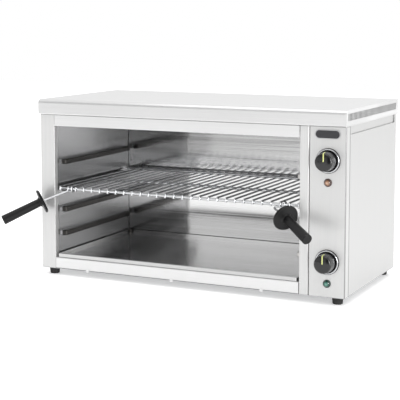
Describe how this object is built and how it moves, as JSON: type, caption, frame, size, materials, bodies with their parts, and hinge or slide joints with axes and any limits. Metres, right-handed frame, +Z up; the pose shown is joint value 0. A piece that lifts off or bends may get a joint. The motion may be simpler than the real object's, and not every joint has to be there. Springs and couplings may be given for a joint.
{
  "type": "salamander grill",
  "caption": "Open-fronted electric grill: folded steel cabinet with ribbed liners, sliding wire grid with hooked black grips, crumb tray, tube heaters under the lid and rotary controls.",
  "frame": {"origin": "on the floor under the middle of the whole footprint, grips and gland included", "axes": "+X to the control side, which is the right seen from the front; +Y to the rear; +Z up"},
  "size_m": [0.7607, 0.4542, 0.3905],
  "materials": {
    "outer_steel": "fine vertical brushed grain, bright",
    "fascia_steel": "fine lengthwise brushed grain, bright",
    "lid_steel": "fine lengthwise brushed grain, bright",
    "base_steel": "plain mill sheet",
    "back_steel": "polished sheet with faint brushed grain",
    "liner_steel": "satin sheet",
    "reflector_steel": "satin sheet",
    "tray_steel": "polished sheet with faint brushed grain",
    "grid_wire": "bright plated wire",
    "heater_sheath": "dull oxidised tube",
    "bush_ceramic": "unglazed white ceramic",
    "fastener_steel": "zinc-plated steel",
    "grip_plastic": "fine matt moulded phenolic",
    "lead_cover": "heat-proof sleeve over stranded wire",
    "knob_plastic": "glossy moulded phenolic",
    "pointer_paint": "pale yellow-green filled line",
    "bezel_chrome": "bright plated ring",
    "control_case": "moulded phenolic with plated blades",
    "amber_lens": "tinted clear moulding",
    "green_lens": "tinted clear moulding",
    "lamp_case": "heat-proof white moulding",
    "badge_metal": "dark satin enamel",
    "foot_rubber": "matt black rubber",
    "gland_plastic": "moulded polyamide",
    "block_plastic": "moulded polyamide"
  },
  "bodies": {
    "cabinet": {"base_plate": "base_steel", "side_panel_left": "outer_steel", "chassis_right": "base_steel", "side_cover_right": "outer_steel", "control_panel": "outer_steel", "right_post": "outer_steel", "upper_fascia": "fascia_steel", "lower_fascia": "fascia_steel", "rear_panel": "back_steel", "liner_left": "liner_steel", "liner_right": "liner_steel", "reflector": "reflector_steel", "heater_front": "heater_sheath", "heater_rear": "heater_sheath", "heater_studs": "fastener_steel", "heater_bushes": "bush_ceramic", "heater_hangers": "reflector_steel", "tray_runner_left": "reflector_steel", "tray_runner_right": "reflector_steel", "bezel_upper": "bezel_chrome", "bezel_lower": "bezel_chrome", "bezel_seats": "knob_plastic", "thermostat": "control_case", "timer": "control_case", "spindle_nuts": "fastener_steel", "lamp_lens_amber": "amber_lens", "lamp_lens_green": "green_lens", "lamp_holders": "lamp_case", "badge_plate": "badge_metal", "top_cover": "lid_steel", "feet": "foot_rubber", "foot_screws": "fastener_steel", "rear_screws": "fastener_steel", "lid_screws": "fastener_steel", "cable_gland": "gland_plastic", "gland_nut": "gland_plastic", "terminal_block": "block_plastic", "leads": "lead_cover"},
    "grid": {"wire_grid": "grid_wire", "handle_rod_left": "grid_wire", "handle_rod_right": "grid_wire", "grip_left": "grip_plastic", "grip_right": "grip_plastic"},
    "tray": {"crumb_tray": "tray_steel"},
    "upper_control": {"knob_upper": "knob_plastic", "pointer_upper": "pointer_paint", "thermostat_shaft": "fastener_steel"},
    "lower_control": {"knob_lower": "knob_plastic", "pointer_lower": "pointer_paint", "timer_shaft": "fastener_steel"}
  },
  "joints": [
    {"name": "thermostat_turn", "type": "hinge", "parent": "cabinet", "child": "upper_control", "pos_m": [0.3414, -0.1319, 0.2895], "axis": [0, 1, 0], "range_deg": [0, 270]},
    {"name": "timer_turn", "type": "hinge", "parent": "cabinet", "child": "lower_control", "pos_m": [0.3414, -0.1319, 0.0865], "axis": [0, 1, 0], "range_deg": [0, 300]},
    {"name": "grid_slide", "type": "slide", "parent": "cabinet", "child": "grid", "axis": [0, -1, 0], "range_m": [0, 0.3]},
    {"name": "tray_slide", "type": "slide", "parent": "cabinet", "child": "tray", "axis": [0, -1, 0], "range_m": [0, 0.3]}
  ]
}
